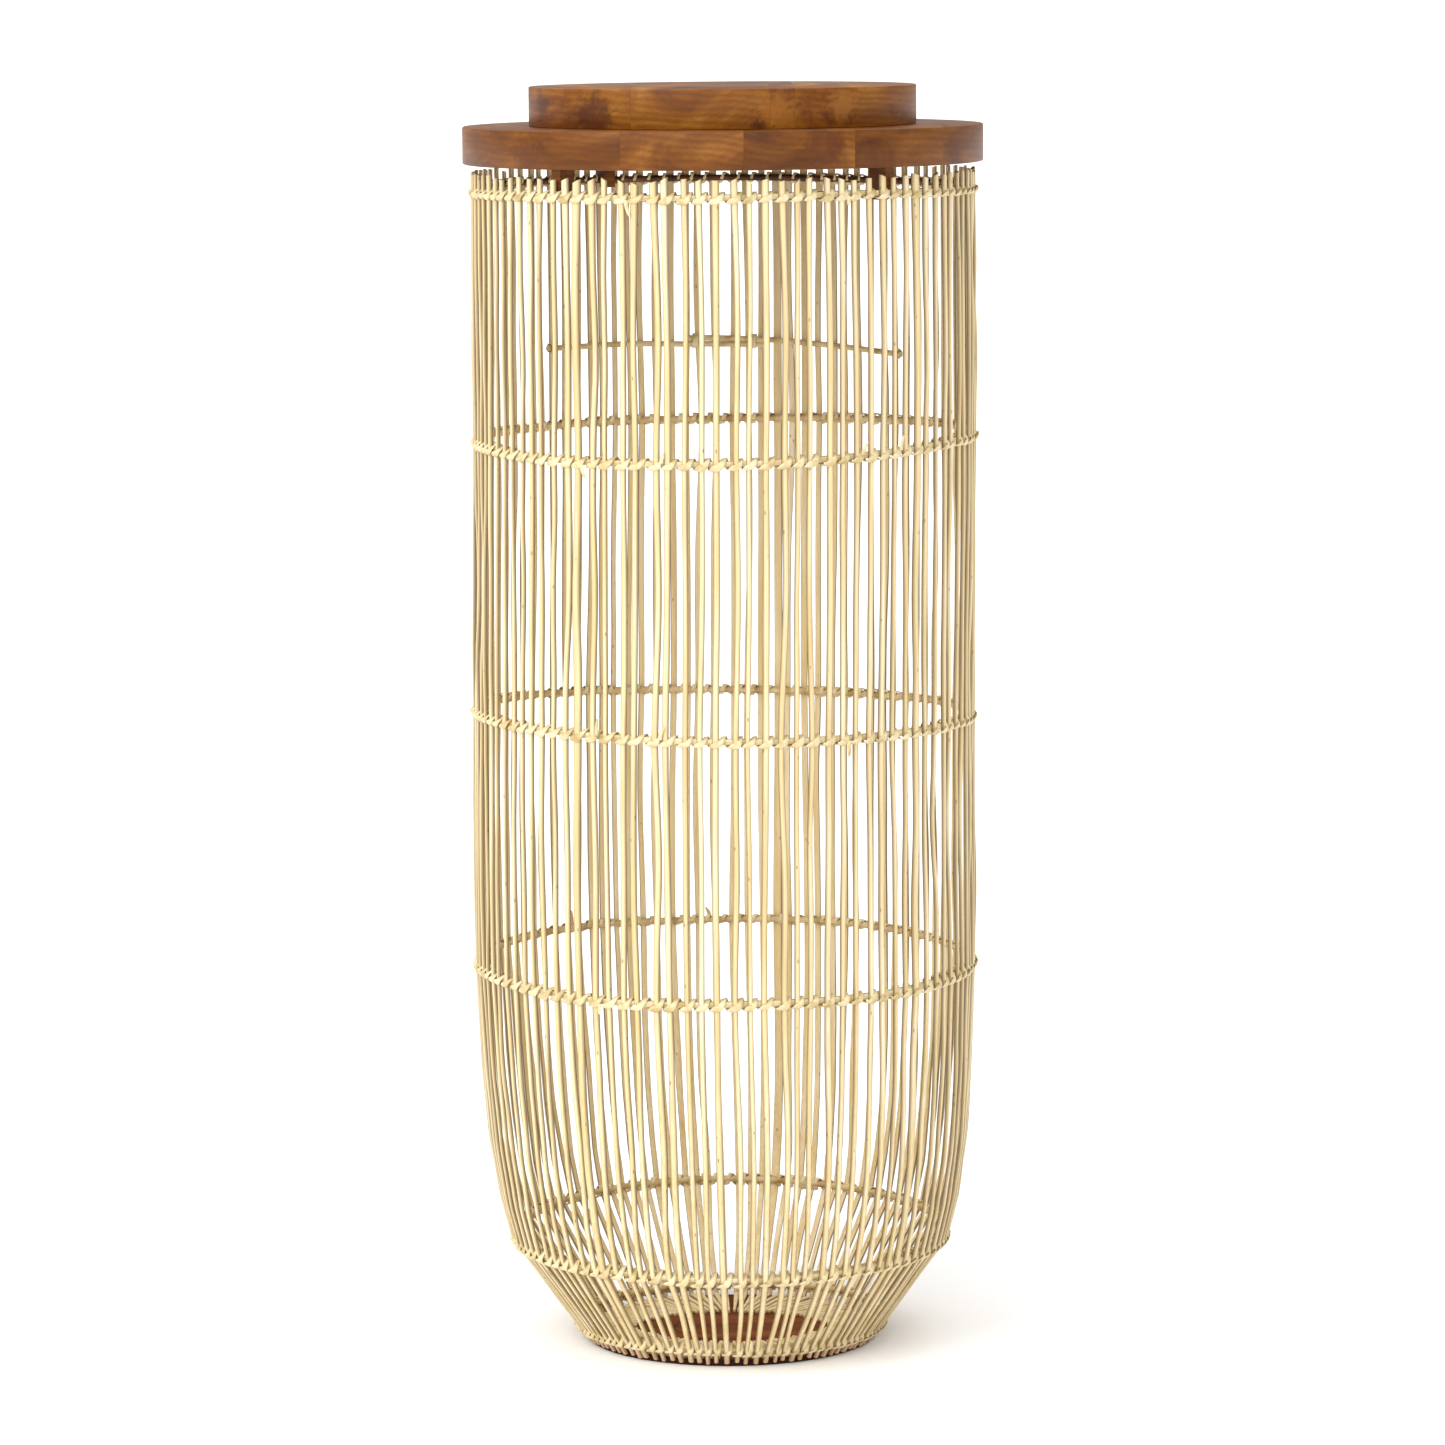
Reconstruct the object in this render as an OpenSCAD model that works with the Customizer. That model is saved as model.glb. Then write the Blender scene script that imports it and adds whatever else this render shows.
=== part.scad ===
// Rattan cane floor lantern with a stepped wooden lift-off lid.
// Units mm, +Z up, origin at the centre of the underside of the base board.

/* [Cane slats] */
// number of upright cane slats round the cage (a multiple of the slats per bundle)
slat_count = 100; // [60:5:120]
// width of one slat across its flat face
slat_w = 3.8; // [3:0.1:6]
// thickness of one slat
slat_t = 2.4; // [1.5:0.1:3.5]
// slats that share one named bundle
slats_per_bundle = 5; // [5:1:5]
// height of the slat tips above the floor
tip_z = 747; // [600:5:900]
// gap between the slat ends and the floor
slat_lift = 1; // [0.5:0.5:5]

/* [Cage profile, outside radii and heights] */
// radius at the rim
rim_r = 159; // [120:0.5:200]
// radius at the fullest point, low on the body
belly_r = 160; // [120:0.5:200]
// height of the fullest point
belly_z = 243; // [200:1:300]
// first point of the turn-in, radius
turn1_r = 157.3; // [120:0.1:200]
// first point of the turn-in, height
turn1_z = 178; // [150:1:195]
// second point of the turn-in, radius
turn2_r = 153.6; // [120:0.1:200]
// second point of the turn-in, height
turn2_z = 131; // [115:1:145]
// third point of the turn-in, radius
turn3_r = 148.2; // [120:0.1:200]
// third point of the turn-in, height
turn3_z = 95; // [90:1:110]
// radius of the sharp bend at the fifth hoop
bend_r = 141.0; // [120:0.1:180]
// height of the sharp bend at the fifth hoop
bend_z = 67; // [60:1:80]
// radius at the foot hoop
foot_r = 100.5; // [80:0.1:130]
// height of the foot bend
foot_z = 9.5; // [9:0.5:20]
// radius of the slat ends at the bottom
end_r = 95; // [80:0.1:130]

/* [Hoops and lashings] */
// diameter of the round cane hoops inside the slats
hoop_d = 4.2; // [3:0.1:6]
// height of the rim hoop
hoop1_z = 736; // [700:1:745]
// height of the second hoop
hoop2_z = 577; // [500:1:650]
// height of the third hoop
hoop3_z = 402; // [350:1:450]
// height of the fourth hoop
hoop4_z = 243; // [200:1:300]
// height of one lashing band
lash_h = 7; // [4:0.1:9]
// thickness of one lashing band
lash_t = 1.3; // [0.8:0.1:2.5]

/* [Back stay] */
// height of the loose stay that runs round the back wall
stay_z = 628; // [590:1:700]
// diameter of the stay cane
stay_d = 3.8; // [2:0.1:4.5]
// half angle covered by the stay either side of the back
stay_half = 48; // [20:1:80]
// half angle of the lap where the two canes overlap
stay_lap = 10; // [4:1:15]

/* [Lid] */
// radius of the lower lid board
lid_r = 163.6; // [162:0.5:190]
// thickness of the lower lid board
lid_t = 23.3; // [15:0.5:30]
// radius of the upper lid board
cap_r = 121.7; // [100:0.5:150]
// thickness of the upper lid board
cap_t = 24.6; // [15:0.5:30]
// clear gap between the slat tips and the lid
lid_gap = 5; // [3:0.5:10]
// width of one locating block under the lid
block_w = 7; // [7:0.5:20]
// radial length of the part of a block that drops inside the rim hoop
block_l = 8; // [7:0.5:30]
// depth that a block reaches below the lid
block_h = 20; // [18:0.5:40]
// radius where the lid screws sit
lid_screw_r = 78; // [40:1:100]

/* [Base] */
// thickness of the round base board
base_t = 3.5; // [2:0.5:6]
// radius of the candle seat, marked by a fine turned line
seat_r = 36; // [25:1:36]
// thickness of the cane tails that lie on the base board
tail_t = 1.8; // [1:0.1:2.5]
// radius where the cane tails begin, near the slats
tail_out = 90; // [70:1:92]
// radius where the cane tails at the two sides end, towards the middle
tail_side = 62; // [50:1:75]
// radius where the cane tails at the back end
tail_back = 38; // [37:1:60]
// radius where the cane tails at the front end
tail_front = 46; // [37:1:60]
// width of a cane tail at its outer end
tail_w = 3.8; // [3:0.1:4.6]
// width of a cane tail at its inner end
tail_tip_w = 2.2; // [1.5:0.1:2.6]

/* [Hidden] */
$fn = 96;
gap = 0.1;
play = 0.4;
// width and depth of the turned line round the candle seat
line_w = 0.8;
line_deep = 0.5;
// where the four locating blocks stand round the lid, set by hand and so not quite even
block_at = [47, 121, 229, 311];
bundles = slat_count / slats_per_bundle;
lid_z = tip_z + lid_gap;
cap_z = lid_z + lid_t + 0.05;
total_h = cap_z + cap_t;

// outside line of the cage from the tips to the slat ends
outer = [[rim_r, tip_z], [belly_r, belly_z], [turn1_r, turn1_z], [turn2_r, turn2_z],
         [turn3_r, turn3_z], [bend_r, bend_z], [foot_r, foot_z], [end_r, slat_lift]];
n_out = len(outer);

// inward normal of one leg of the line
function leg_n(i) = let (d = outer[i + 1] - outer[i], l = norm(d)) [d[1] / l, -d[0] / l];
// point i of the line moved inwards by d, mitred at the bends
function inset(i, d) =
    i == 0 ? outer[0] + leg_n(0) * d :
    i == n_out - 1 ? outer[i] + leg_n(i - 1) * d :
    let (s = leg_n(i - 1) + leg_n(i), b = s / norm(s)) outer[i] + b * (d / (b * leg_n(i)));
// outside radius of the cage at a height in its straight upper part
function wall_r(z) = z > belly_z
    ? belly_r + (rim_r - belly_r) * (z - belly_z) / (tip_z - belly_z)
    : belly_r;

// radius where the cane tail at an angle ends
function tail_in(a) = tail_side + ((sin(a) > 0 ? tail_back : tail_front) - tail_side) * abs(sin(a));

hoop_in = slat_t + hoop_d / 2 + gap;
hoop5_c = inset(5, hoop_in);
hoop6_c = inset(6, hoop_in);
hoop_c = [[wall_r(hoop1_z) - hoop_in, hoop1_z], [wall_r(hoop2_z) - hoop_in, hoop2_z],
          [wall_r(hoop3_z) - hoop_in, hoop3_z], inset(1, hoop_in), hoop5_c, hoop6_c];
block_out = hoop_c[0][0] - hoop_d / 2 - 2.2;
block_in = block_out - block_l;
lug_out = hoop_c[0][0] + 0.6;
lug_z = hoop1_z + hoop_d / 2 + play;
block_z = lid_z - block_h;
base_r = inset(n_out - 1, slat_t)[0] - gap - 0.1;
stay_c = wall_r(stay_z) - slat_t - stay_d / 2 - gap;

// one upright slat: its side profile, cut to width
module slat() {
    rotate([90, 0, 0]) linear_extrude(height = slat_w, center = true)
        polygon(concat([for (i = [0 : n_out - 1]) outer[i]],
                       [for (i = [n_out - 1 : -1 : 0]) inset(i, slat_t)]));
}

// a bundle of neighbouring slats
module slats(b) {
    color([0.87, 0.79, 0.60])
    for (i = [0 : slats_per_bundle - 1])
        rotate([0, 0, ((b - 1) * slats_per_bundle + i + 0.5) * 360 / slat_count]) slat();
}

// a bent round cane hoop inside the slats
module hoop(i) {
    color([0.72, 0.60, 0.40])
    rotate_extrude() translate(hoop_c[i]) circle(d = hoop_d, $fn = 32);
}

// the cane lashing outside the slats at a hoop in the straight part of the wall
module lashing_straight(i) {
    r = wall_r(hoop_c[i][1]) + gap;
    color([0.94, 0.87, 0.68])
    rotate_extrude() translate([r, hoop_c[i][1] - lash_h / 2]) square([lash_t, lash_h]);
}

// the cane lashing that wraps a bend of the wall
module lashing_bent(i) {
    up = outer[i - 1] - outer[i];
    dn = outer[i + 1] - outer[i];
    u = up / norm(up) * lash_h / 2;
    d = dn / norm(dn) * lash_h / 2;
    color([0.94, 0.87, 0.68])
    rotate_extrude()
        polygon([inset(i, -gap) + u, inset(i, -gap), inset(i, -gap) + d,
                 inset(i, -gap - lash_t) + d, inset(i, -gap - lash_t), inset(i, -gap - lash_t) + u]);
}

module hoop_rim() hoop(0);
module hoop_upper() hoop(1);
module hoop_middle() hoop(2);
module hoop_lower() hoop(3);
module hoop_bend() hoop(4);
module hoop_foot() hoop(5);
module lashing_rim() lashing_straight(0);
module lashing_upper() lashing_straight(1);
module lashing_middle() lashing_straight(2);
module lashing_lower() lashing_straight(3);
module lashing_bend() lashing_bent(5);
module lashing_foot() lashing_bent(6);

// one cane of the back stay: an arc from angle a to angle b at height z
module stay_cane(a, b, z) {
    color([0.78, 0.66, 0.45])
    rotate([0, 0, a]) rotate_extrude(angle = b - a) translate([stay_c, z]) circle(d = stay_d, $fn = 24);
}
module stay_left() stay_cane(90 - stay_lap, 90 + stay_half, stay_z);
module stay_right() stay_cane(90 - stay_half, 90 + stay_lap, stay_z + stay_d + gap);

// short wraps over the stay ends and at both ends of the lap
module stay_ties() {
    r = stay_c - stay_d / 2 - gap - lash_t;
    tie = 1.6;
    color([0.94, 0.87, 0.68]) {
        for (a = [90 - stay_lap + 1, 90 + stay_lap - 1 - tie])
            rotate([0, 0, a]) rotate_extrude(angle = tie)
                translate([r, stay_z - stay_d / 2 - 1]) square([lash_t, stay_d * 2 + 2]);
        rotate([0, 0, 90 - stay_half + 0.6]) rotate_extrude(angle = tie)
            translate([r, stay_z + stay_d / 2 - 1]) square([lash_t, stay_d + 2]);
        rotate([0, 0, 90 + stay_half - 0.6 - tie]) rotate_extrude(angle = tie)
            translate([r, stay_z - stay_d / 2 - 1]) square([lash_t, stay_d + 2]);
    }
}

// a turned round board with softened edges, standing on z
module board(r, z, t, c) {
    rotate_extrude()
        polygon([[0, z], [r - c, z], [r, z + c], [r, z + t - c], [r - c, z + t], [0, z + t]]);
}

// the base board has a fine line turned in its top to mark the candle seat
module base_board() {
    c = 0.6;
    color([0.36, 0.19, 0.11]) rotate_extrude()
        polygon([[0, 0], [base_r - c, 0], [base_r, c], [base_r, base_t - c], [base_r - c, base_t],
                 [seat_r + line_w, base_t], [seat_r + line_w, base_t - line_deep],
                 [seat_r, base_t - line_deep], [seat_r, base_t], [0, base_t]]);
}

// a quarter of the tapered cane tails that lie on the base board, one to a slat
module tails(q) {
    n = slat_count / 4;
    color([0.85, 0.76, 0.56])
    for (i = [0 : n - 1]) {
        a = ((q - 1) * n + i + 0.5) * 360 / slat_count;
        rotate([0, 0, a]) translate([0, 0, base_t + 0.05]) linear_extrude(height = tail_t)
            polygon([[tail_in(a), -tail_tip_w / 2], [tail_out, -tail_w / 2],
                     [tail_out, tail_w / 2], [tail_in(a), tail_tip_w / 2]]);
    }
}

module lid_board() {
    color([0.59, 0.35, 0.19]) difference() {
        board(lid_r, lid_z, lid_t, 0.8);
        for (k = [0 : 3]) rotate([0, 0, 90 * k]) translate([lid_screw_r, 0, 0]) {
            translate([0, 0, lid_z - 1]) cylinder(d = 4.4, h = lid_t + 2, $fn = 24);
            translate([0, 0, lid_z - 1]) cylinder(d = 8.6, h = 4.5, $fn = 24);
        }
    }
}

module cap_board() {
    color([0.62, 0.37, 0.20]) difference() {
        board(cap_r, cap_z, cap_t, 0.8);
        for (k = [0 : 3]) rotate([0, 0, 90 * k]) translate([lid_screw_r, 0, cap_z - 1])
            cylinder(d = 4.4, h = 16, $fn = 24);
    }
}

// a stepped locating block of two glued pieces: the tongue drops inside the rim hoop,
// the lug on its outer side rests over the hoop
module lid_block(k) {
    color([0.52, 0.30, 0.16])
    rotate([0, 0, block_at[k - 1]]) {
        translate([block_in, -block_w / 2, block_z])
            cube([block_l, block_w, block_h - 0.05]);
        translate([block_out + 0.05, -block_w / 2, lug_z])
            cube([lug_out - block_out - 0.05, block_w, lid_z - 0.05 - lug_z]);
    }
}

// wood screws from below that join the two lid boards
module lid_screws() {
    color([0.62, 0.60, 0.56])
    for (k = [0 : 3]) rotate([0, 0, 90 * k]) translate([lid_screw_r, 0, 0]) {
        translate([0, 0, lid_z + 0.3]) cylinder(d = 8.2, h = 3.1, $fn = 24);
        translate([0, 0, lid_z + 0.3]) cylinder(d = 4.2, h = 35, $fn = 24);
    }
}

slats(1);  // slats_01
slats(2);  // slats_02
slats(3);  // slats_03
slats(4);  // slats_04
slats(5);  // slats_05
slats(6);  // slats_06
slats(7);  // slats_07
slats(8);  // slats_08
slats(9);  // slats_09
slats(10);  // slats_10
slats(11);  // slats_11
slats(12);  // slats_12
slats(13);  // slats_13
slats(14);  // slats_14
slats(15);  // slats_15
slats(16);  // slats_16
slats(17);  // slats_17
slats(18);  // slats_18
slats(19);  // slats_19
slats(20);  // slats_20
hoop_rim();
hoop_upper();
hoop_middle();
hoop_lower();
hoop_bend();
hoop_foot();
lashing_rim();
lashing_upper();
lashing_middle();
lashing_lower();
lashing_bend();
lashing_foot();
stay_left();
stay_right();
stay_ties();
base_board();
tails(1);  // tails_1
tails(2);  // tails_2
tails(3);  // tails_3
tails(4);  // tails_4
lid_board();
cap_board();
lid_block(1);  // lid_block_1
lid_block(2);  // lid_block_2
lid_block(3);  // lid_block_3
lid_block(4);  // lid_block_4
lid_screws();
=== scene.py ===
# Rattan cane floor lantern with a stepped wooden lid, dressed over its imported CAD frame.
# The sections follow the way the lantern is put together: base board, hoops, slats,
# lashings, back stay, lid. The studio comes last.
import math

import bpy
import numpy as np
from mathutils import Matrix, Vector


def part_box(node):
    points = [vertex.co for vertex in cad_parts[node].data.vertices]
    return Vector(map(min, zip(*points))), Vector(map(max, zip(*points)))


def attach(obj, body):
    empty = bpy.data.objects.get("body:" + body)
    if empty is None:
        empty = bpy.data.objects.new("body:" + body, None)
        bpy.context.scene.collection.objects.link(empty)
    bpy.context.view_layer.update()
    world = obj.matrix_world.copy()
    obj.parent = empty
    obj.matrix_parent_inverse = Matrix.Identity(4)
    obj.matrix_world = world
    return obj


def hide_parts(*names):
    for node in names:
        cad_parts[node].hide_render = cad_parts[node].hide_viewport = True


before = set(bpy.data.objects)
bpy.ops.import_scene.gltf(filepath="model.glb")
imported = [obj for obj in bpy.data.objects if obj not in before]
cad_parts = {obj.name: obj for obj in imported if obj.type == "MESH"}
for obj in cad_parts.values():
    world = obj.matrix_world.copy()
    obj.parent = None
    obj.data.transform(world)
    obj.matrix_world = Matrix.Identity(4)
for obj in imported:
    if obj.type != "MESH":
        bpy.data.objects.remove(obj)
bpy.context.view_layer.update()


# ---- Base board ------------------------------------------------------------------------
# A thin turned disc of dark stained mango wood. The slat ends stand round its edge. It keeps its
# CAD shape.

def linear(code):
    """An sRGB hex colour as the linear RGBA that shader sockets take."""
    parts = [int(code[i:i + 2], 16) / 255 for i in (0, 2, 4)]
    return tuple(p / 12.92 if p <= 0.04045 else ((p + 0.055) / 1.055) ** 2.4 for p in parts) + (1.0,)


def add(tree, kind, feeds=None, stops=(), **settings):
    """One shader node with its settings and links; feeds maps an input to a value or an output."""
    node = tree.nodes.new(kind)
    for name, value in settings.items():
        setattr(node, name, value)
    for key, source in (feeds or {}).items():
        if isinstance(source, bpy.types.NodeSocket):
            tree.links.new(source, node.inputs[key])
        else:
            node.inputs[key].default_value = source
    for k, (place, code) in enumerate(stops):
        stop = node.color_ramp.elements[k] if k < 2 else node.color_ramp.elements.new(place)
        stop.position, stop.color = place, linear(code)
    return node


def blank(name, **shine):
    """A new material with its bare surface shader, ready for colour and bump."""
    material = bpy.data.materials.new(name)
    material.use_nodes = True
    tree = material.node_tree
    surface = tree.nodes["Principled BSDF"]
    for key, value in shine.items():
        surface.inputs[key.replace("_", " ")].default_value = value
    return material, tree, surface


# Stained mango wood, sanded and oiled: deep red-brown with darker pores 1.5 mm apart along X.
mango, tree, surface = blank("stained_mango_wood", Roughness=0.7, IOR=1.5,
                             Specular_IOR_Level=0.15)
place = add(tree, "ShaderNodeTexCoord").outputs["Object"]
along = add(tree, "ShaderNodeMapping", {"Vector": place, "Scale": (60, 650, 650)}).outputs[0]
pores = add(tree, "ShaderNodeTexNoise", {"Vector": along, "Scale": 1.0, "Detail": 4.0}).outputs["Fac"]
along = add(tree, "ShaderNodeMapping", {"Vector": place, "Scale": (6, 45, 45)}).outputs[0]
bands = add(tree, "ShaderNodeTexNoise",
            {"Vector": along, "Scale": 1.0, "Distortion": 0.6}).outputs["Fac"]
tone = add(tree, "ShaderNodeValToRGB", {"Fac": bands},
           stops=[(0.3, "4e2007"), (0.5, "7a3d12"), (0.72, "9c5a24")]).outputs[0]
half = add(tree, "ShaderNodeMath", {0: pores, 1: 0.5}, operation="MULTIPLY").outputs[0]
tone = add(tree, "ShaderNodeMix", {0: half, 6: tone, 7: linear("240c03")}, data_type="RGBA").outputs[2]
# painted shade: the rim is darkened almost to black where the slats meet it, standing in for the deep
# shadow between the slat ends
flat = add(tree, "ShaderNodeVectorMath", {0: place, 1: (1, 1, 0)}, operation="MULTIPLY").outputs[0]
reach = add(tree, "ShaderNodeVectorMath", {0: flat}, operation="LENGTH").outputs["Value"]
rim = add(tree, "ShaderNodeMapRange",
          {"Value": reach, "From Min": 0.086, "From Max": 0.0905, "To Max": 0.85}).outputs[0]
tone = add(tree, "ShaderNodeMix", {0: rim, 6: tone, 7: linear("1c0a04")}, data_type="RGBA").outputs[2]
tree.links.new(tone, surface.inputs["Base Color"])
bump = add(tree, "ShaderNodeBump", {"Height": pores, "Strength": 0.25, "Distance": 0.0003})
tree.links.new(bump.outputs["Normal"], surface.inputs["Normal"])

base_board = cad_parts["base_board"]
base_board.data.materials.clear()
base_board.data.materials.append(mango)


# ---- Hoops -----------------------------------------------------------------------------
# Six round rattan canes, each bent into a ring inside the slats. Bent by hand, they are
# never quite round or level: most tip and wave by 1 to 3 mm, and one end rises by 5 mm.

cane_hoops = ["rim", "upper", "middle", "lower", "bend", "foot"]
hoop_thick = 0.0042
slat_thick = 0.0024
# how far each hoop tips: positive is higher at the front
hoop_tip = dict(rim=-0.0003, upper=-0.0020, middle=0.0030, lower=-0.0014, bend=-0.0028, foot=0.0008)
# how far the ends of a hoop, left and right, sit above its middle
hoop_ends = dict(upper=(0.0008, 0.0040), middle=(0.0050, 0.0), lower=(0.0019, 0.0008))
hoop_level = {}
for name in cane_hoops:
    low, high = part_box("lashing_" + name)
    hoop_level[name] = (low.z + high.z) / 2

hand = np.random.default_rng(41)
hoop_waves = {name: [(k, hand.normal(0, 0.0006 / k ** 0.5), hand.uniform(0, 6.28))
                     for k in (2, 3, 5, 8)] for name in cane_hoops}

# the outside line of the cage from the slat tips to their ends, radius and height, with its
# corners rounded off over about a centimetre
wall_line = np.array([(0.159, 0.749), (0.160, 0.243), (0.1573, 0.178), (0.1536, 0.131),
                      (0.1482, 0.095), (0.1410, 0.067), (0.1005, 0.0095), (0.095, 0.001),
                      (0.0947, -0.002)])
run = np.concatenate([[0], np.cumsum(np.linalg.norm(np.diff(wall_line, axis=0), axis=1))])
even = np.arange(0, run[-1], 0.001)
wall_fine = np.stack([np.interp(even, run, wall_line[:, k]) for k in (0, 1)], 1)
soft = np.hanning(11) / np.hanning(11).sum()
wall_fine[5:-5] = np.stack([np.convolve(wall_fine[:, k], soft, "valid") for k in (0, 1)], 1)
wall_fine = wall_fine[::-1]


def hoop_lift(name, angle):
    """How far a hoop sits above its level at an angle round the lantern."""
    lift = -hoop_tip[name] * np.sin(angle)
    for k, size, start in hoop_waves[name]:
        lift = lift + size * np.cos(k * angle + start)
    left, right = hoop_ends.get(name, (0, 0))
    return lift + ((left + right) * np.cos(angle) ** 2 + (right - left) * np.cos(angle)) / 2


def wall(angle, height):
    """Outside radius of the cage, and the outward normal's radial and upward parts.

    The corner of the wall follows the bend hoop up and down, and fades out above and below it.
    """
    near = np.clip(np.minimum((height - 0.010) / 0.057, (0.177 - height) / 0.110), 0, 1)
    height = height - hoop_lift("bend", angle) * near

    def radius(h):
        return np.interp(h, wall_fine[:, 1], wall_fine[:, 0])

    slope = (radius(height + 0.002) - radius(height - 0.002)) / 0.004
    size = np.sqrt(1 + slope ** 2)
    return radius(height), 1 / size, -slope / size


def round_about(angle, radius, height):
    """Points in the lantern's frame; below its middle the cage leans up to 2.5 mm to the left."""
    height = height + 0 * angle
    lean = 0.0025 * np.sin(np.pi * np.clip(height / 0.62, 0, 1)) ** 2
    return np.stack([radius * np.cos(angle) - lean, radius * np.sin(angle), height], -1)


def unit(v):
    """Each vector at length one."""
    return v / np.linalg.norm(v, axis=-1, keepdims=True)


def facing(angle, out, up):
    """The outward normal as a vector, from its radial and upward parts."""
    return np.stack([np.cos(angle) * out, np.sin(angle) * out, up], -1)


def swept(path, out, outline, closed=False, wide=1.0, thick=1.0, side=None):
    """A strip or rod: an outline of (side, out) points carried along a path."""
    if side is None:
        ahead = np.roll(path, -1, 0) - np.roll(path, 1, 0) if closed else np.gradient(path, axis=0)
        side = unit(np.cross(unit(ahead), out))
    n, m = len(path), len(outline)
    wide, thick = np.broadcast_to(wide, n), np.broadcast_to(thick, n)
    verts = (path[:, None] + side[:, None] * (outline[None, :, :1] * wide[:, None, None])
             + out[:, None] * (outline[None, :, 1:] * thick[:, None, None]))
    rows = np.arange(n if closed else n - 1)[:, None] * m
    step = np.arange(m)[None]
    ahead = (rows + m) % (n * m)
    turn = (step + 1) % m
    faces = np.stack([rows + step, rows + turn, ahead + turn, ahead + step], -1).reshape(-1, 4).tolist()
    if not closed:
        faces += [list(range(m))[::-1], list(range((n - 1) * m, n * m))]
    return verts.reshape(-1, 3), faces


def piece(name, shapes, material, sharp=40, **values):
    """One object from several shapes; values holds a number for each point of each shape."""
    verts, faces, start = [], [], 0
    for points, polygons in shapes:
        verts.append(points)
        faces += [[i + start for i in polygon] for polygon in polygons]
        start += len(points)
    mesh = bpy.data.meshes.new(name)
    mesh.from_pydata(np.concatenate(verts).tolist(), [], faces)
    for key, numbers in values.items():
        layer = mesh.attributes.new(key, "FLOAT", "POINT")
        layer.data.foreach_set("value", np.concatenate(numbers).astype(np.float32))
    mesh.polygons.foreach_set("use_smooth", [True] * len(mesh.polygons))
    mesh.set_sharp_from_angle(angle=math.radians(sharp))
    mesh.materials.append(material)
    mesh.validate()
    thing = bpy.data.objects.new(name, mesh)
    bpy.context.scene.collection.objects.link(thing)
    return thing


def cane_skin(name, light, mid, dark, roughness):
    """Rattan with patches about 10 mm and fibres about 1 mm across, on a rod or strip that runs
    any way round the lantern."""
    material, tree, surface = blank(name, Roughness=roughness, IOR=1.5)
    place = add(tree, "ShaderNodeTexCoord").outputs["Object"]
    patches = add(tree, "ShaderNodeTexNoise",
                  {"Vector": place, "Scale": 90.0, "Detail": 3.0}).outputs["Fac"]
    fibres = add(tree, "ShaderNodeTexNoise",
                 {"Vector": place, "Scale": 900.0, "Detail": 2.0}).outputs["Fac"]
    tone = add(tree, "ShaderNodeValToRGB", {"Fac": patches},
               stops=[(0.3, dark), (0.5, mid), (0.68, light)]).outputs[0]
    streak = add(tree, "ShaderNodeMath", {0: fibres, 1: 0.35}, operation="MULTIPLY").outputs[0]
    tone = add(tree, "ShaderNodeMix", {0: streak, 6: tone, 7: linear(dark)}, data_type="RGBA").outputs[2]
    tree.links.new(tone, surface.inputs["Base Color"])
    bump = add(tree, "ShaderNodeBump", {"Height": fibres, "Strength": 0.3, "Distance": 0.0003})
    tree.links.new(bump.outputs["Normal"], surface.inputs["Normal"])
    return material


# Round rattan core, steamed and bent: tan and matt. The rim hoop gets a dark brown copy of it, painted
# shade for the lid's shadow over the rim.
hoop_cane = cane_skin("steamed_rattan_core", "e2cda0", "ceb482", "9a7a48", 0.6)
rim_cane_painted_lid_shade = cane_skin("rattan_core_painted_lid_shade", "7c4d26", "5c3616", "351b0a", 0.55)

around = np.linspace(0, 2 * np.pi, 361)[:-1]
corners = np.linspace(0, 2 * np.pi, 13)[:-1]
rod = np.stack([np.cos(corners), np.sin(corners)], 1) / 2


def hoop_ring(name, angle):
    """The middle of a hoop, lying against the inside of the slats."""
    height = hoop_level[name] + hoop_lift(name, angle)
    radius, out, up = wall(angle, height)
    depth = slat_thick + hoop_thick / 2 + 0.0001
    return round_about(angle, radius - out * depth, height - up * depth)


for name in cane_hoops:
    path = hoop_ring(name, around)
    outward = unit(path * (1, 1, 0))
    thick = hoop_thick * (1 + 0.04 * np.cos(7 * around + 1.3) * np.sin(3 * around))
    ring = piece("cane_hoop_" + name,
                 [swept(path, outward, rod, closed=True, wide=thick, thick=thick)],
                 rim_cane_painted_lid_shade if name == "rim" else hoop_cane)
    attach(ring, "cage")
    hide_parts("hoop_" + name)


# ---- Slats -----------------------------------------------------------------------------
# A hundred upright strips of split rattan cane, flat inside and a little domed outside. They
# are split and set by hand, so they wander, lean, pinch together and end at uneven heights.

slat_count = 100
slat_top = 0.747
slat_outline = np.array([(-0.40, 0), (-0.5, 0.12), (-0.5, 0.45), (-0.40, 0.82), (-0.2, 0.97),
                         (0, 1.0), (0.2, 0.97), (0.40, 0.82), (0.5, 0.45), (0.5, 0.12), (0.40, 0)])
# how dark each corner of that outline is: the split sides are brown, and darkest at the inner corners as
# painted shade for the shadowed gaps between slats; the faces aren't
slat_edge_brown_and_shade = np.array([0, 1, 0.75, 0.45, 0, 0, 0, 0.45, 0.75, 1, 0])
pitch = 2 * np.pi / slat_count
slat_wide = np.clip(hand.normal(0.0037, 0.00035, slat_count), 0.0030, 0.0045)
broad_slats = [65, 21, 88]
slat_wide[broad_slats] = 0.0054
slat_tone = np.clip(hand.normal(0.5, 0.2, slat_count), 0.05, 0.95)
slat_tone[broad_slats[0]] = 1.0

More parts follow.
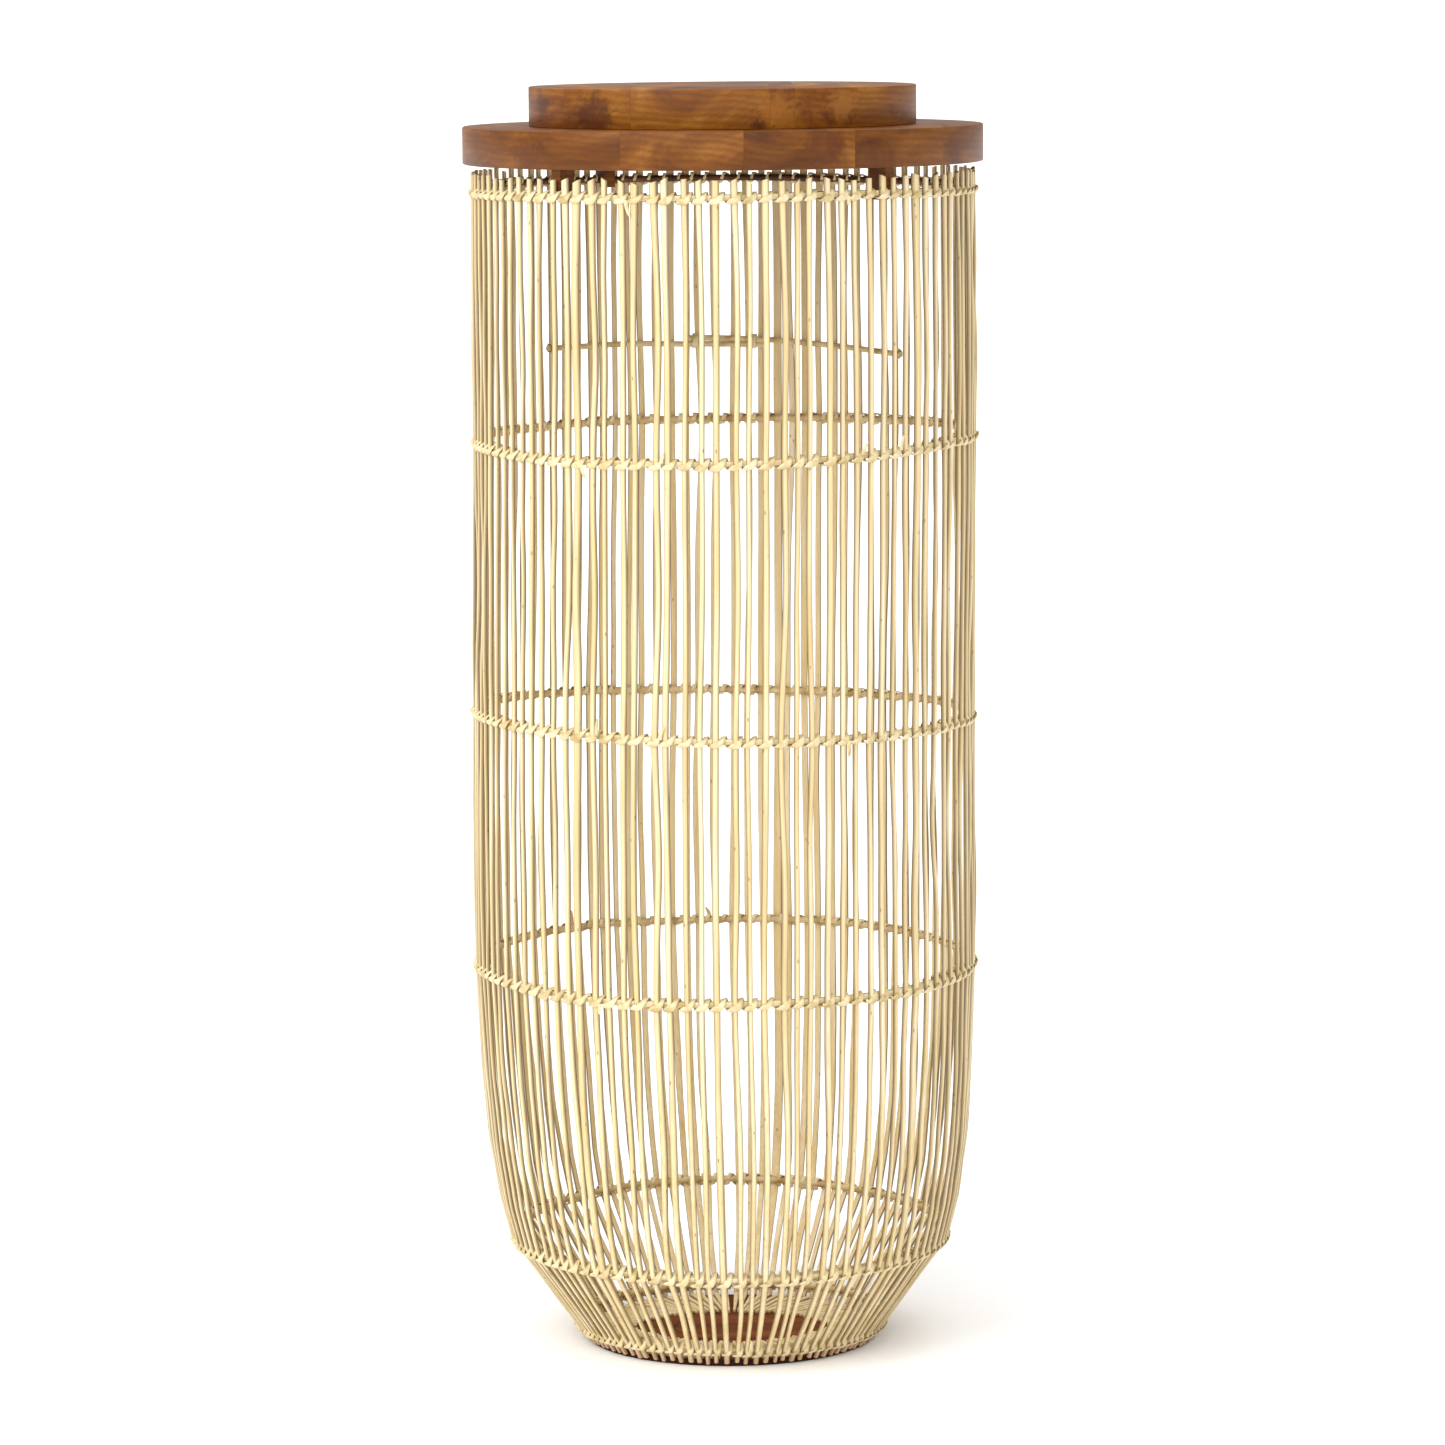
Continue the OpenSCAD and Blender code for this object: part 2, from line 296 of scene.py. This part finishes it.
# where each slat stands at the hoops and half way between them: straight runs, a little bowed
stations = np.array([0.0, 0.0095, 0.038, 0.067, 0.145, 0.243, 0.322, 0.402, 0.490, 0.577, 0.657,
                     0.736, 0.749])
looseness = np.array([0.06, 0.06, 0.03, 0.07, 0.03, 0.07, 0.03, 0.08, 0.03, 0.08, 0.02, 0.06, 0.02])
bowed = np.array([0, 0, 1, 0, 1, 0, 1, 0, 1, 0, 1, 0, 0], bool)
offset = hand.normal(0, 1, (slat_count, len(stations))) * looseness
offset = offset + hand.normal(0, 0.075, (slat_count, 1))
held = np.flatnonzero(~bowed)
for k in np.flatnonzero(bowed):
    below, above = held[held < k][-1], held[held > k][0]
    offset[:, k] += (offset[:, below] + offset[:, above]) / 2
slat_angle = (np.arange(slat_count) + 0.5)[:, None] * pitch + offset * pitch
# slats that would overlap push each other apart
for k, height in enumerate(stations):
    radius = np.interp(height, wall_fine[:, 1], wall_fine[:, 0]) - slat_thick
    need = (slat_wide + np.roll(slat_wide, -1)) / 2 * (0.86 if height < 0.05 else 1) + 0.0003
    for again in range(60):
        room = (np.roll(slat_angle[:, k], -1) - slat_angle[:, k]) % (2 * np.pi) * radius
        push = np.clip(need - room, 0, None) / radius / 2
        slat_angle[:, k] += np.roll(push, 1) - push
# the tips and the feet run straight on
slat_angle[:, -1] = slat_angle[:, -2] + (slat_angle[:, -2] - slat_angle[:, -3]) * 13 / 79
slat_angle[:, 0] = slat_angle[:, 1] - (slat_angle[:, 2] - slat_angle[:, 1]) * 9.5 / 28.5


def slat_at(i, height):
    """Where slat i stands, as an angle, at a height: its stations joined by a springy curve."""
    places, values = stations, slat_angle[i]
    height = np.asarray(height, float)
    slope = np.gradient(values, places)
    k = np.clip(np.searchsorted(places, height, side="right") - 1, 0, len(places) - 2)
    gap = places[k + 1] - places[k]
    f = np.clip((height - places[k]) / gap, 0, 1)
    return (values[k] * (1 + 2 * f) * (1 - f) ** 2 + slope[k] * gap * f * (1 - f) ** 2
            + values[k + 1] * f * f * (3 - 2 * f) + slope[k + 1] * gap * f * f * (f - 1))


def drift(at, step, spread):
    """A smooth random wander along the places `at`, new every step."""
    x = (at - at.min()) / step
    knots = hand.normal(0, spread, int(x.max()) + 3)
    i = x.astype(int)
    f = (1 - np.cos(np.pi * (x - i))) / 2
    return knots[i] * (1 - f) + knots[i + 1] * f


rows = np.concatenate([np.arange(0, 0.1, 0.004), np.arange(0.1, 0.25, 0.007),
                       np.arange(0.25, 0.74, 0.0125)])

# Split rattan: cream to straw yellow, satin on the domed side, brown on the split edges and
# darkened there as painted shade for the gaps between slats, with fibres about 0.7 mm apart
# along it and a few dark specks.
split_cane, tree, surface = blank("split_rattan_cane", Roughness=0.5, IOR=1.5)
own = add(tree, "ShaderNodeAttribute", attribute_name="tone").outputs["Fac"]
edge = add(tree, "ShaderNodeAttribute", attribute_name="edge").outputs["Fac"]
place = add(tree, "ShaderNodeTexCoord").outputs["Object"]
along = add(tree, "ShaderNodeMapping", {"Vector": place, "Scale": (1500, 1500, 14)}).outputs[0]
fibres = add(tree, "ShaderNodeTexNoise", {"Vector": along, "Scale": 1.0}).outputs["Fac"]
along = add(tree, "ShaderNodeMapping", {"Vector": place, "Scale": (110, 110, 9)}).outputs[0]
patches = add(tree, "ShaderNodeTexNoise", {"Vector": along, "Scale": 1.0, "Detail": 3.0}).outputs["Fac"]
tone = add(tree, "ShaderNodeValToRGB", {"Fac": patches},
           stops=[(0.28, "dfc68e"), (0.5, "ecd8a9"), (0.70, "f5e6c3")]).outputs[0]
half = add(tree, "ShaderNodeMath", {0: own, 1: 0.4}, operation="MULTIPLY").outputs[0]
tone = add(tree, "ShaderNodeMix", {0: half, 6: tone, 7: linear("d1b374")}, data_type="RGBA").outputs[2]
# the fibre lines, the browner split edges with painted shade in the gaps between slats, the specks, and a
# pinkish brown tint over the lowest centimetre of the feet
streak = add(tree, "ShaderNodeMapRange",
             {"Value": fibres, "From Min": 0.38, "From Max": 0.8, "To Max": 0.38})
tone = add(tree, "ShaderNodeMix",
           {0: streak.outputs[0], 6: tone, 7: linear("a98548")}, data_type="RGBA").outputs[2]
# painted shade: the split edges are mixed toward dark brown, partly their own browner colour and partly
# the shade of the gaps between slats
brown_edge_and_shade_mix = add(tree, "ShaderNodeMath", {0: edge, 1: 0.9}, operation="MULTIPLY").outputs[0]
tone = add(tree, "ShaderNodeMix", {0: brown_edge_and_shade_mix, 6: tone, 7: linear("563b14")}, data_type="RGBA").outputs[2]
along = add(tree, "ShaderNodeMapping", {"Vector": place, "Scale": (170, 170, 60)}).outputs[0]
spots = add(tree, "ShaderNodeTexVoronoi", {"Vector": along, "Scale": 1.0}).outputs["Distance"]
speck = add(tree, "ShaderNodeMapRange",
            {"Value": spots, "From Min": 0.10, "From Max": 0.06, "To Max": 0.6})
tone = add(tree, "ShaderNodeMix",
           {0: speck.outputs[0], 6: tone, 7: linear("5f3f1c")}, data_type="RGBA").outputs[2]
# the lowest centimetre of the slats is tinted pinkish brown, fully below 5 mm and fading out by 10 mm
damp = add(tree, "ShaderNodeAttribute", attribute_name="damp").outputs["Fac"]
tone = add(tree, "ShaderNodeMix", {0: damp, 6: tone, 7: linear("b07a5c")}, data_type="RGBA").outputs[2]
tree.links.new(tone, surface.inputs["Base Color"])
bump = add(tree, "ShaderNodeBump", {"Height": fibres, "Strength": 0.35, "Distance": 0.0003})
tree.links.new(bump.outputs["Normal"], surface.inputs["Normal"])

for bundle in range(20):
    shapes, tones, edges, damps = [], [], [], []
    for i in range(bundle * 5, bundle * 5 + 5):
        top = slat_top - abs(hand.normal(0, 0.0013))
        end = 0.0012 + hand.uniform(0, 0.0015)
        height = np.concatenate([[end], rows[rows > end + 0.002], [top]])
        angle = slat_at(i, height)
        radius, out, up = wall(angle, height)
        free = np.clip(np.min([abs(height - hoop_level[n]) for n in cane_hoops], 0) / 0.05, 0, 1)
        radius = radius + drift(height, 0.07, 0.0007) * free
        middle = round_about(angle, radius - out * slat_thick, height - up * slat_thick)
        outward = unit(facing(angle, out, up))
        side = unit(np.cross(unit(np.gradient(middle, axis=0)), outward))
        twist = drift(height, 0.09, 0.10)[:, None]
        side, outward = (side * np.cos(twist) + outward * np.sin(twist),
                         outward * np.cos(twist) - side * np.sin(twist))
        wide = slat_wide[i] * (1 + drift(height, 0.05, 0.04))
        wide = wide * np.interp(height, [0, 0.012, 0.06, 0.69, 0.735], [0.84, 0.84, 1, 1, 1.2])
        thick = slat_thick * (0.92 + drift(height, 0.06, 0.03))
        points, faces = swept(middle, outward, slat_outline, wide=wide, thick=thick, side=side)
        m = len(slat_outline)
        points[-m:, 2] += slat_outline[:, 0] * hand.normal(0, 0.0016)
        shapes.append((points, faces))
        tones.append(np.full(len(points), slat_tone[i]))
        edges.append(np.tile(slat_edge_brown_and_shade, len(height)))
        damps.append(0.55 * np.clip((0.010 - points[:, 2]) / 0.005, 0, 1))
    strips = piece("cane_slats_%02d" % (bundle + 1), shapes, split_cane, sharp=50,
                   tone=tones, edge=edges, damp=damps)
    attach(strips, "cage")
    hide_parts("slats_%02d" % (bundle + 1))


# ---- Cane tails -------------------------------------------------------------------------
# Inside, the pared tails of the slats lie on the base board, tacked down, pointing to the
# middle. They were cut off square and not quite to one length.

tail_outline = np.array([(-0.5, 0), (-0.5, 0.7), (-0.38, 0.95), (0, 1.0), (0.38, 0.95),
                         (0.5, 0.7), (0.5, 0)])
tail_start = 0.0905
# how near the middle the tails end, at the two sides, at the back and at the front
tail_side, tail_back, tail_front = 0.062, 0.038, 0.046
for quarter in range(4):
    low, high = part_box("tails_%d" % (quarter + 1))
    shapes, tones, edges = [], [], []
    for i in range(quarter * 25, quarter * 25 + 25):
        angle = (i + 0.5) * pitch
        near = tail_back if angle < math.pi else tail_front
        inner = tail_side + (near - tail_side) * abs(math.sin(angle))
        reach = np.linspace(tail_start, inner + abs(hand.normal(0, 0.0025)), 14)
        angle = slat_at(i, 0.01) + (tail_start - reach) * hand.normal(0, 0.2)
        level = low.z + 0.00002 + 0 * reach
        path = round_about(angle, reach, level)
        path[:, 2] += 0.0004 * (0.5 + 0.5 * np.sin(reach * 120 + i))
        up = np.tile([0, 0, 1.0], (len(reach), 1))
        wide = np.interp(reach, [tail_back, tail_start], [0.0016, 0.0034])
        points, faces = swept(path, up, tail_outline, wide=wide, thick=high.z - low.z)
        shapes.append((points, faces))
        # painted light: the tails take a third of their slat's tone, the light end, to make up for the
        # shade of the lid over them
        tones.append(np.full(len(points), slat_tone[i] / 3))
        # the tails' sides get the same brown edge and painted shade as the slats
        edges.append(np.tile([0.6, 0.3, 0, 0, 0, 0.3, 0.6], len(reach)))
    tails = piece("cane_tails_%d" % (quarter + 1), shapes, split_cane, sharp=50,
                  tone=tones, edge=edges)
    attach(tails, "cage")
    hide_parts("tails_%d" % (quarter + 1))


# ---- Lashings --------------------------------------------------------------------------
# A flat strip of pared cane lies along each hoop, and one long strand is wound round strip,
# hoop and slats, one turn to a slat, rising from left to right. Some ends are left standing.

strand_outline = np.array([(-0.5, -0.25), (-0.46, 0.25), (-0.25, 0.46), (0, 0.5), (0.25, 0.46),
                           (0.46, 0.25), (0.5, -0.25), (0, -0.42)])
lash_cane = cane_skin("pared_cane_strand", "ebdfba", "e0cfa2", "b89d60", 0.48)

turns = 18  # points in one turn of the strand
lag = 0.6
for name in cane_hoops:
    level = hoop_level[name]
    base = np.array([slat_at(i, level) for i in range(slat_count)])
    knots = np.concatenate([base, base[:1] + 2 * np.pi])
    t = np.arange(slat_count * turns) / turns
    i = t.astype(int)
    angle = knots[i] * (1 - (t - i)) + knots[i + 1] * (t - i)
    phase = 2 * np.pi * t - 0.92 * np.sin(2 * np.pi * t)
    loose = np.concatenate([hand.normal(0, 1, slat_count), [0]])
    loose[-1] = loose[0]
    give = loose[i] * (1 - (t - i)) + loose[i + 1] * (t - i)
    height = level + hoop_lift(name, angle)
    radius, out, up = wall(angle, height)
    deep = (slat_thick + hoop_thick) / 2
    front = deep + 0.0006 + 0.0001 * give
    tall = (0.0027 if name == "foot" else 0.0034) + 0.00025 * give
    # one turn is an oval about the middle of hoop and slats; the lag tilts it as it rises
    a, b = front * np.cos(phase), tall * np.sin(phase - lag)
    across = radius - out * deep + out * a - up * b
    upward = height - up * deep + up * a + out * b
    path = round_about(angle, across, upward)
    na, nb = np.cos(phase) / front, np.sin(phase - lag / 2) / tall
    size = np.hypot(na, nb)
    na, nb = na / size, nb / size
    outward = facing(angle, out * na - up * nb, up * na + out * nb)
    inside = 0.3 if name == "rim" else 0.6
    wide = inside + (1 - inside) * np.sqrt((1 + np.cos(phase)) / 2)
    wide = wide * (0.0042 if name != "foot" else 0.0035) * (1 + 0.08 * give)
    shapes = [swept(path, outward, strand_outline, closed=True, wide=wide, thick=0.0010)]
    height = level + hoop_lift(name, around)
    radius, out, up = wall(around, height)
    middle = round_about(around, radius - out * slat_thick, height - up * slat_thick)
    outward = facing(around, out, up)
    shapes.append(swept(middle, outward, strand_outline, closed=True, wide=0.0036, thick=0.0005))
    # loose ends: a short tail of strand left standing beside a slat, above or below the lashing
    for k in hand.choice(slat_count, 4, replace=False):
        way = 1 if name == "foot" else hand.choice([-1, 1])
        rise = np.linspace(0, 1, 12)
        angle = slat_at(k, level) + pitch * (0.38 + hand.uniform(-0.1, 0.3) * rise ** 2)
        height = level + hoop_lift(name, angle) + way * (0.001 + hand.uniform(0.006, 0.011) * rise)
        radius, out, up = wall(angle, height)
        middle = round_about(angle, radius + 0.0006 + hand.uniform(0, 0.0008) * rise, height)
        outward = unit(facing(angle, out, up))
        shapes.append(swept(middle, outward, strand_outline, wide=0.0026 - 0.0016 * rise ** 3,
                            thick=0.0009))
    band = piece("cane_lashing_" + name, shapes, lash_cane, sharp=60)
    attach(band, "cage")
    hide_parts("lashing_" + name)


# ---- Back stay -------------------------------------------------------------------------
# Two thin round canes run loosely round the inside of the back wall and lap behind the
# middle. Their ends, and both ends of the lap, are held by short twists of cane.

stay_cane = cane_skin("thin_rattan_core", "e8d7a8", "dac594", "a98d58", 0.6)
lap_low, lap_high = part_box("stay_left"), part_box("stay_right")
stay_thick = lap_low[1].z - lap_low[0].z
stay_reach = lap_high[1].x / math.cos(math.radians(42)) - stay_thick / 2 - 0.0002
stay_slack = 0.0008


def stay_droop(angle):
    """How far the stay sags below its level: it hangs lower at its right end."""
    return np.interp(np.degrees(angle), [42, 78, 92, 138], [-0.0085, -0.0008, 0, 0.001])


for name, (low, high), first, last in (("left", lap_low, 80, 138), ("right", lap_high, 42, 100)):
    angle = np.radians(np.linspace(first, last, 90))
    level = (low.z + high.z) / 2 + stay_droop(angle) + drift(angle, 0.3, 0.0004)
    path = round_about(angle, stay_reach - stay_slack + drift(angle, 0.25, 0.0003), level)
    outward = unit(path * (1, 1, 0))
    cane = piece("stay_cane_" + name,
                 [swept(path, outward, rod, wide=stay_thick, thick=stay_thick)], stay_cane)
    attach(cane, "cage")
    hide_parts("stay_" + name)

# Each tie is a narrow strand of cane wound three times round one cane, or round both at the lap.
wraps = []
for at, both in ((43.2, 0), (82.8, 1), (97.2, 1), (136.8, 0)):
    u = np.linspace(0, 1, 73)
    low = lap_low if at > 90 or both else lap_high
    high = lap_high if at < 90 or both else lap_low
    middle, tall = (low[0].z + high[1].z) / 2, (high[1].z - low[0].z) / 2 + 0.0006
    deep = stay_thick / 2 + 0.0006 + (0 if both else 0.0006) * np.sin(np.pi * u)
    tall = tall + (0 if both else 0.0008) * np.sin(np.pi * u)
    turn = 6 * np.pi * u
    angle = math.radians(at) + (u - 0.5) * 0.0032 / 0.15
    path = round_about(angle, stay_reach - stay_slack + deep * np.cos(turn),
                       middle + stay_droop(math.radians(at)) + tall * np.sin(turn))
    facing = unit(np.stack([np.cos(turn) / deep, np.sin(turn) / tall], -1))
    outward = np.stack([np.cos(angle) * facing[:, 0], np.sin(angle) * facing[:, 0], facing[:, 1]], -1)
    wraps.append(swept(path, outward, strand_outline, wide=0.0017, thick=0.0009))
ties = piece("cane_stay_ties", wraps, lash_cane, sharp=60)
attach(ties, "cage")
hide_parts("stay_ties")


# ---- Lid -------------------------------------------------------------------------------
# Two round boards glued up from solid teak planks and turned, a small one screwed on a large
# one. Each plank has its own tone; the edges are plain and only just eased.

def teak(name, tones, knots):
    """Oiled teak: warm brown, grain along Y, growth rings 3 mm apart seen on the end grain."""
    material, tree, surface = blank(name, Roughness=0.42, IOR=1.5, Specular_IOR_Level=0.22)
    place = add(tree, "ShaderNodeTexCoord").outputs["Object"]
    plank = add(tree, "ShaderNodeAttribute", attribute_name="plank").outputs["Fac"]
    moved = add(tree, "ShaderNodeVectorMath", {0: (0.37, 0, 0.21), "Scale": plank},
                operation="SCALE").outputs[0]
    moved = add(tree, "ShaderNodeVectorMath", {0: place, 1: moved}, operation="ADD").outputs[0]
    slow = add(tree, "ShaderNodeMapping", {"Vector": moved, "Scale": (20, 7, 34)}).outputs[0]
    clouds = add(tree, "ShaderNodeTexNoise",
                 {"Vector": slow, "Scale": 1.0, "Detail": 5.0, "Roughness": 0.6,
                  "Distortion": 1.0}).outputs["Fac"]
    bent = add(tree, "ShaderNodeMapping",
               {"Vector": moved, "Scale": (40, 5, 75), "Location": (2, 0, 5)}).outputs[0]
    rings = add(tree, "ShaderNodeTexWave",
                {"Vector": bent, "Scale": 1.0, "Distortion": 6.0, "Detail": 3.0, "Detail Scale": 0.7},
                wave_type="RINGS", rings_direction="Y").outputs["Fac"]
    fine = add(tree, "ShaderNodeMapping", {"Vector": moved, "Scale": (500, 40, 900)}).outputs[0]
    pores = add(tree, "ShaderNodeTexNoise", {"Vector": fine, "Scale": 1.0, "Detail": 3.0}).outputs["Fac"]
    tone = add(tree, "ShaderNodeValToRGB", {"Fac": clouds},
               stops=list(zip((0.27, 0.42, 0.55, 0.72), tones))).outputs[0]
    # the growth rings, the pores, then each plank's own tone
    ring = add(tree, "ShaderNodeMath", {0: rings, 1: 0.32}, operation="MULTIPLY").outputs[0]
    tone = add(tree, "ShaderNodeMix", {0: ring, 6: tone, 7: linear("4c250a")}, data_type="RGBA").outputs[2]
    pore = add(tree, "ShaderNodeMath", {0: pores, 1: 0.35}, operation="MULTIPLY").outputs[0]
    tone = add(tree, "ShaderNodeMix", {0: pore, 6: tone, 7: linear("3a1c0a")}, data_type="RGBA").outputs[2]
    own = add(tree, "ShaderNodeMath", {0: plank, 1: 7.31}, operation="MULTIPLY").outputs[0]
    own = add(tree, "ShaderNodeMath", {0: own, 1: 1.0}, operation="MODULO").outputs[0]
    own = add(tree, "ShaderNodeMath", {0: own, 1: 0.4}, operation="MULTIPLY").outputs[0]
    tone = add(tree, "ShaderNodeMix", {0: own, 6: tone, 7: linear("66380f")}, data_type="RGBA").outputs[2]
    # knots and burls: ragged patches of another tone, some of them rough to the touch
    lump = pores
    rough = add(tree, "ShaderNodeTexNoise",
                {"Vector": place, "Scale": 110.0, "Detail": 4.0, "Distortion": 1.5}).outputs["Fac"]
    for centre, size, colour, depth in knots:
        away = add(tree, "ShaderNodeVectorMath", {0: place, 1: centre},
                   operation="DISTANCE").outputs["Value"]
        far = add(tree, "ShaderNodeMath", {0: rough, 1: size * 1.6, 2: away},
                  operation="MULTIPLY_ADD").outputs[0]
        patch = add(tree, "ShaderNodeMapRange",
                    {"Value": far, "From Min": size * 1.9, "From Max": size * 1.15, "To Max": 0.65},
                    interpolation_type="SMOOTHSTEP").outputs[0]
        tone = add(tree, "ShaderNodeMix", {0: patch, 6: tone, 7: linear(colour)},
                   data_type="RGBA").outputs[2]
        wrinkle = add(tree, "ShaderNodeMath", {0: rough, 1: patch}, operation="MULTIPLY").outputs[0]
        lump = add(tree, "ShaderNodeMath", {0: wrinkle, 1: depth, 2: lump},
                   operation="MULTIPLY_ADD").outputs[0]
    tree.links.new(tone, surface.inputs["Base Color"])
    bump = add(tree, "ShaderNodeBump", {"Height": lump, "Strength": 0.3, "Distance": 0.0006})
    tree.links.new(bump.outputs["Normal"], surface.inputs["Normal"])
    return material


def planked(name, node, joints, ease, material):
    """A round board cut into planks that run front to back, with a hair-fine joint between them."""
    low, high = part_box(node)
    radius, floor, top = (high.x - low.x) / 2, low.z, high.z
    edges = [-radius] + list(joints) + [radius]
    hair = 0.00003
    shapes, marks = [], []
    for k, (left, right) in enumerate(zip(edges, edges[1:])):
        left, right = left + hair * (k > 0), right - hair * (right < radius)
        layers = []
        for inset, level in ((ease, floor), (ease * 0.3, floor + ease * 0.3), (0, floor + ease),
                             (0, top - ease), (ease * 0.3, top - ease * 0.3), (ease, top)):
            r = radius - inset
            a, b = max(left, -r), min(right, r)
            xs = b - (b - a) * (1 - np.cos(np.linspace(0, np.pi, 49))) / 2
            ys = np.sqrt(np.clip(r * r - xs * xs, 0, None))
            loop = np.concatenate([np.stack([xs, ys], 1), np.stack([xs[::-1], -ys[::-1]], 1)])
            layers.append(np.concatenate([loop, np.full((len(loop), 1), level)], 1))
        m = len(layers[0])
        verts = np.concatenate(layers)
        faces = [[j * m + i, j * m + (i + 1) % m, (j + 1) * m + (i + 1) % m, (j + 1) * m + i]
                 for j in range(len(layers) - 1) for i in range(m)]
        faces += [list(range(m))[::-1], list(range((len(layers) - 1) * m, len(layers) * m))]
        shapes.append((verts, faces))
        marks.append(np.full(len(verts), (k + 1) * 0.618 % 1))
    board = piece(name, shapes, material, sharp=35, plank=marks)
    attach(board, "lid")
    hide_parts(node)


# each knot: where its middle is, its radius, its colour and how rough it is
lid_teak = teak("oiled_teak_lower_board", ("361804", "693a09", "854e13", "a46a26"),
                [((0.062, -0.151, 0.768), 0.016, "54290f", 0),
                 ((-0.120, -0.111, 0.758), 0.014, "5c3216", 0)])
cap_teak = teak("oiled_teak_upper_board", ("451f04", "82490a", "a16212", "c48a2c"),
                [((-0.080, -0.092, 0.781), 0.019, "3c1608", 0),
                 ((-0.112, -0.048, 0.790), 0.012, "4a2009", 0),
                 ((0.034, -0.117, 0.784), 0.016, "9c6221", 5.0),
                 ((0.074, -0.097, 0.789), 0.013, "a2682a", 6.0),
                 ((0.022, -0.120, 0.778), 0.006, "3a180a", 4.0)])
# where the joints run, how far the edge is eased, and the wood
planked("lid_lower_board", "lid_board", (-0.143, -0.062, 0.0126, 0.080, 0.135), 0.0009, lid_teak)
planked("lid_upper_board", "cap_board", (-0.056, 0.029, 0.044), 0.0008, cap_teak)

for k in range(1, 5):
    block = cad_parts["lid_block_%d" % k]
    block.data.materials.clear()
    block.data.materials.append(lid_teak)

# Zinc plated steel screws, hidden inside the boards: grey, half dull.
zinc, tree, surface = blank("zinc_plated_screw", Metallic=1.0, Roughness=0.38)
cloudy = add(tree, "ShaderNodeTexNoise", {"Scale": 400.0, "Detail": 2.0}).outputs["Fac"]
tone = add(tree, "ShaderNodeValToRGB", {"Fac": cloudy},
           stops=[(0.3, "8f8d88"), (0.7, "b5b3ad")]).outputs[0]
tree.links.new(tone, surface.inputs["Base Color"])
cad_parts["lid_screws"].data.materials.clear()
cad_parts["lid_screws"].data.materials.append(zinc)


# ---- Studio ----------------------------------------------------------------------------
# A pale floor that fills the view, a white sky, a broad light from the left, a weaker one from
# the camera's side and one from above. The camera stands 3.7 m off and looks down a little.

pale, tree, surface = blank("pale_paper_floor", Roughness=0.9, IOR=1.3, Specular_IOR_Level=0.0)
surface.inputs["Base Color"].default_value = (0.96, 0.96, 0.96, 1)
bpy.ops.mesh.primitive_plane_add(size=600)
ground = bpy.context.object
ground.name = "studio_floor"
ground.data.materials.append(pale)

world = bpy.data.worlds.new("studio_air")
world.use_nodes = True
world.node_tree.nodes["Background"].inputs["Color"].default_value = (1, 1, 1, 1)
world.node_tree.nodes["Background"].inputs["Strength"].default_value = 0.62
bpy.context.scene.world = world


def soft_sun(name, from_left, height, spread, strength):
    """A broad distant light on the camera's side: degrees from the left, up and across."""
    lamp = bpy.data.lights.new(name, "SUN")
    lamp.angle, lamp.energy = math.radians(spread), strength
    thing = bpy.data.objects.new(name, lamp)
    bpy.context.scene.collection.objects.link(thing)
    thing.location = (0, -2, 2)
    thing.rotation_euler = (math.radians(90 - height), 0, math.radians(-from_left))


soft_sun("key_light", 52, 36, 45, 1.6)
soft_sun("front_light", 4, 26, 60, 1.0)
soft_sun("top_light", 0, 86, 70, 1.3)

lens = bpy.data.cameras.new("studio_camera")
lens.lens, lens.sensor_width, lens.clip_end = 145.3, 36, 900
camera = bpy.data.objects.new("studio_camera", lens)
bpy.context.scene.collection.objects.link(camera)
camera.rotation_mode = "XYZ"
camera.location = (0.0007, -3.681, 0.874)
camera.rotation_euler = (math.radians(90 - 7.39), math.radians(0.43), 0)
bpy.context.scene.camera = camera
bpy.context.scene.view_settings.view_transform = "Standard"
